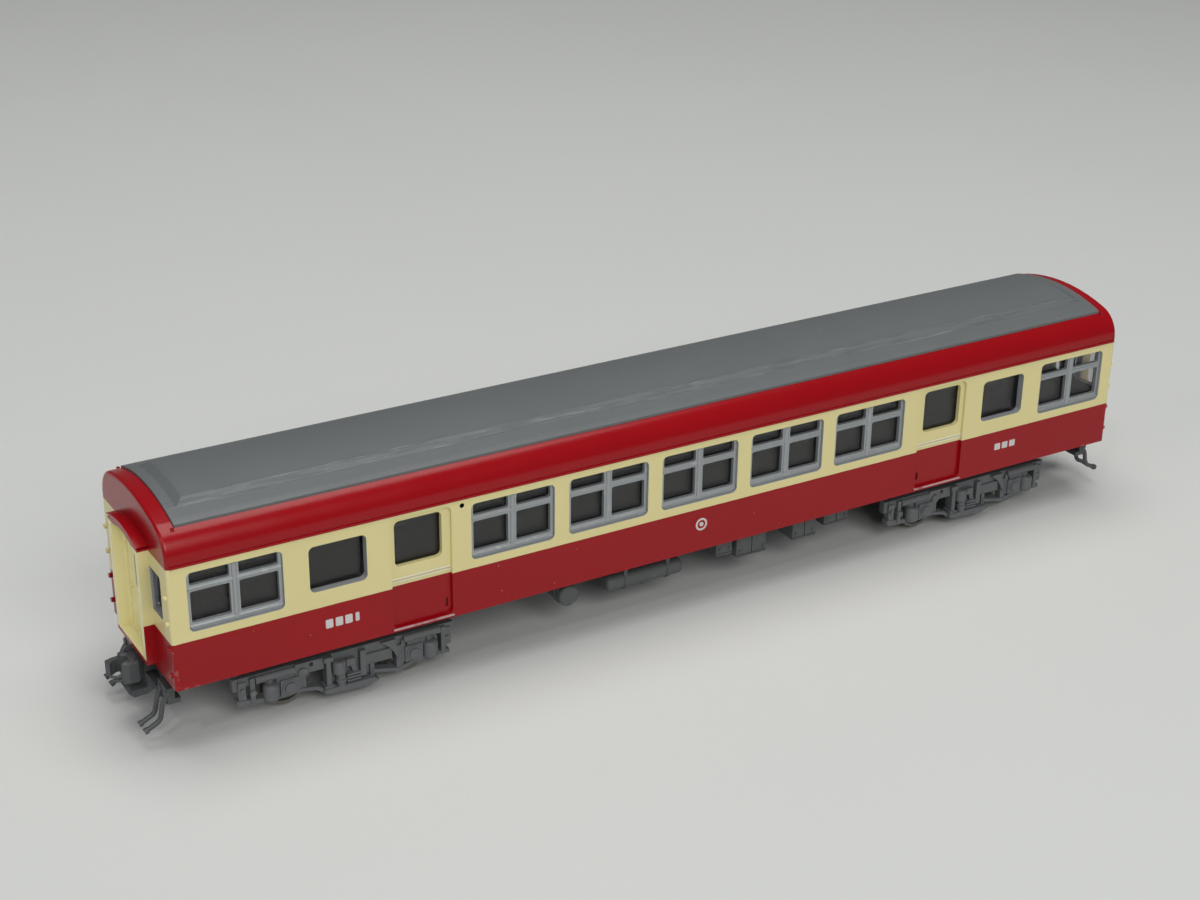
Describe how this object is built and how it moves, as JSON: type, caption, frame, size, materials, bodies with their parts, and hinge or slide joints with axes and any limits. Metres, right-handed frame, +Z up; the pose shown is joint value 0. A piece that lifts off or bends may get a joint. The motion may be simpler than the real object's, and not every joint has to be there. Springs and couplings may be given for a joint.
{
  "type": "model railway coach",
  "caption": "Model passenger coach for 9 mm track: arched-roof body with sash windows and gangway ends, underframe, swivelling bogies with turning wheelsets and swinging couplers.",
  "frame": {"origin": "centre of the bounding box in plan, on the surface that the wheel flanges stand on", "axes": "+X along the coach towards end b, +Y across it, +Z up; the side with the four small underfloor boxes faces -Y"},
  "size_m": [0.1284, 0.019, 0.026],
  "materials": {
    "coach_paint": "gloss red below and on the roof edge, cream between, over dark plastic",
    "roof_grey": "satin grey paint",
    "clear_glazing": "clear gloss plastic",
    "sash_silver": "silver paint, satin",
    "underframe_black": "matte black",
    "ballast_steel": "plain steel sheet",
    "gear_grey": "matte dark grey",
    "bogie_grey": "matte grey, as moulded",
    "coupler_grey": "satin dark grey, as moulded",
    "axle_steel": "turned steel",
    "wheel_metal": "blackened, with bright treads"
  },
  "bodies": {
    "coach": {"body_shell": "coach_paint", "roof_panel": "roof_grey", "side_glazing_near": "clear_glazing", "side_glazing_far": "clear_glazing", "end_glazing_a": "clear_glazing", "end_glazing_b": "clear_glazing", "sash_set_near": "sash_silver", "sash_set_far": "sash_silver", "chassis_floor": "underframe_black", "weight_plate": "ballast_steel", "cross_reservoir": "gear_grey", "main_reservoir": "gear_grey", "relay_box": "gear_grey", "switch_box": "gear_grey", "brake_box": "gear_grey", "junction_box": "gear_grey", "battery_box": "gear_grey", "charger_box": "gear_grey", "bogie_pin_a": "underframe_black", "bogie_pin_b": "underframe_black", "coupler_pocket_a": "underframe_black", "coupler_pocket_b": "underframe_black", "hose_carrier_a": "coupler_grey", "hose_carrier_b": "coupler_grey"},
    "bogie_a": {"bogie_frame_a": "bogie_grey"},
    "bogie_b": {"bogie_frame_b": "bogie_grey"},
    "coupler_a": {"coupler_head_a": "coupler_grey"},
    "coupler_b": {"coupler_head_b": "coupler_grey"},
    "wheelset_a1": {"axle_a1": "axle_steel", "wheels_a1": "wheel_metal"},
    "wheelset_a2": {"axle_a2": "axle_steel", "wheels_a2": "wheel_metal"},
    "wheelset_b1": {"axle_b1": "axle_steel", "wheels_b1": "wheel_metal"},
    "wheelset_b2": {"axle_b2": "axle_steel", "wheels_b2": "wheel_metal"}
  },
  "joints": [
    {"name": "bogie_a_swivel", "type": "hinge", "parent": "coach", "child": "bogie_a", "pos_m": [-0.04095, 0, 0.005], "axis": [0, 0, 1], "range_deg": [-15, 15]},
    {"name": "coupler_a_swing", "type": "hinge", "parent": "coach", "child": "coupler_a", "pos_m": [-0.0568, 0, 0.0059], "axis": [0, 0, 1], "range_deg": [-10, 10]},
    {"name": "bogie_b_swivel", "type": "hinge", "parent": "coach", "child": "bogie_b", "pos_m": [0.04095, 0, 0.005], "axis": [0, 0, 1], "range_deg": [-15, 15]},
    {"name": "coupler_b_swing", "type": "hinge", "parent": "coach", "child": "coupler_b", "pos_m": [0.0568, 0, 0.0059], "axis": [0, 0, 1], "range_deg": [-10, 10]},
    {"name": "wheelset_a1_spin", "type": "hinge", "parent": "bogie_a", "child": "wheelset_a1", "pos_m": [-0.0479, 0, 0.0033], "axis": [0, 1, 0], "continuous": true},
    {"name": "wheelset_a2_spin", "type": "hinge", "parent": "bogie_a", "child": "wheelset_a2", "pos_m": [-0.034, 0, 0.0033], "axis": [0, 1, 0], "continuous": true},
    {"name": "wheelset_b1_spin", "type": "hinge", "parent": "bogie_b", "child": "wheelset_b1", "pos_m": [0.034, 0, 0.0033], "axis": [0, 1, 0], "continuous": true},
    {"name": "wheelset_b2_spin", "type": "hinge", "parent": "bogie_b", "child": "wheelset_b2", "pos_m": [0.0479, 0, 0.0033], "axis": [0, 1, 0], "continuous": true}
  ]
}
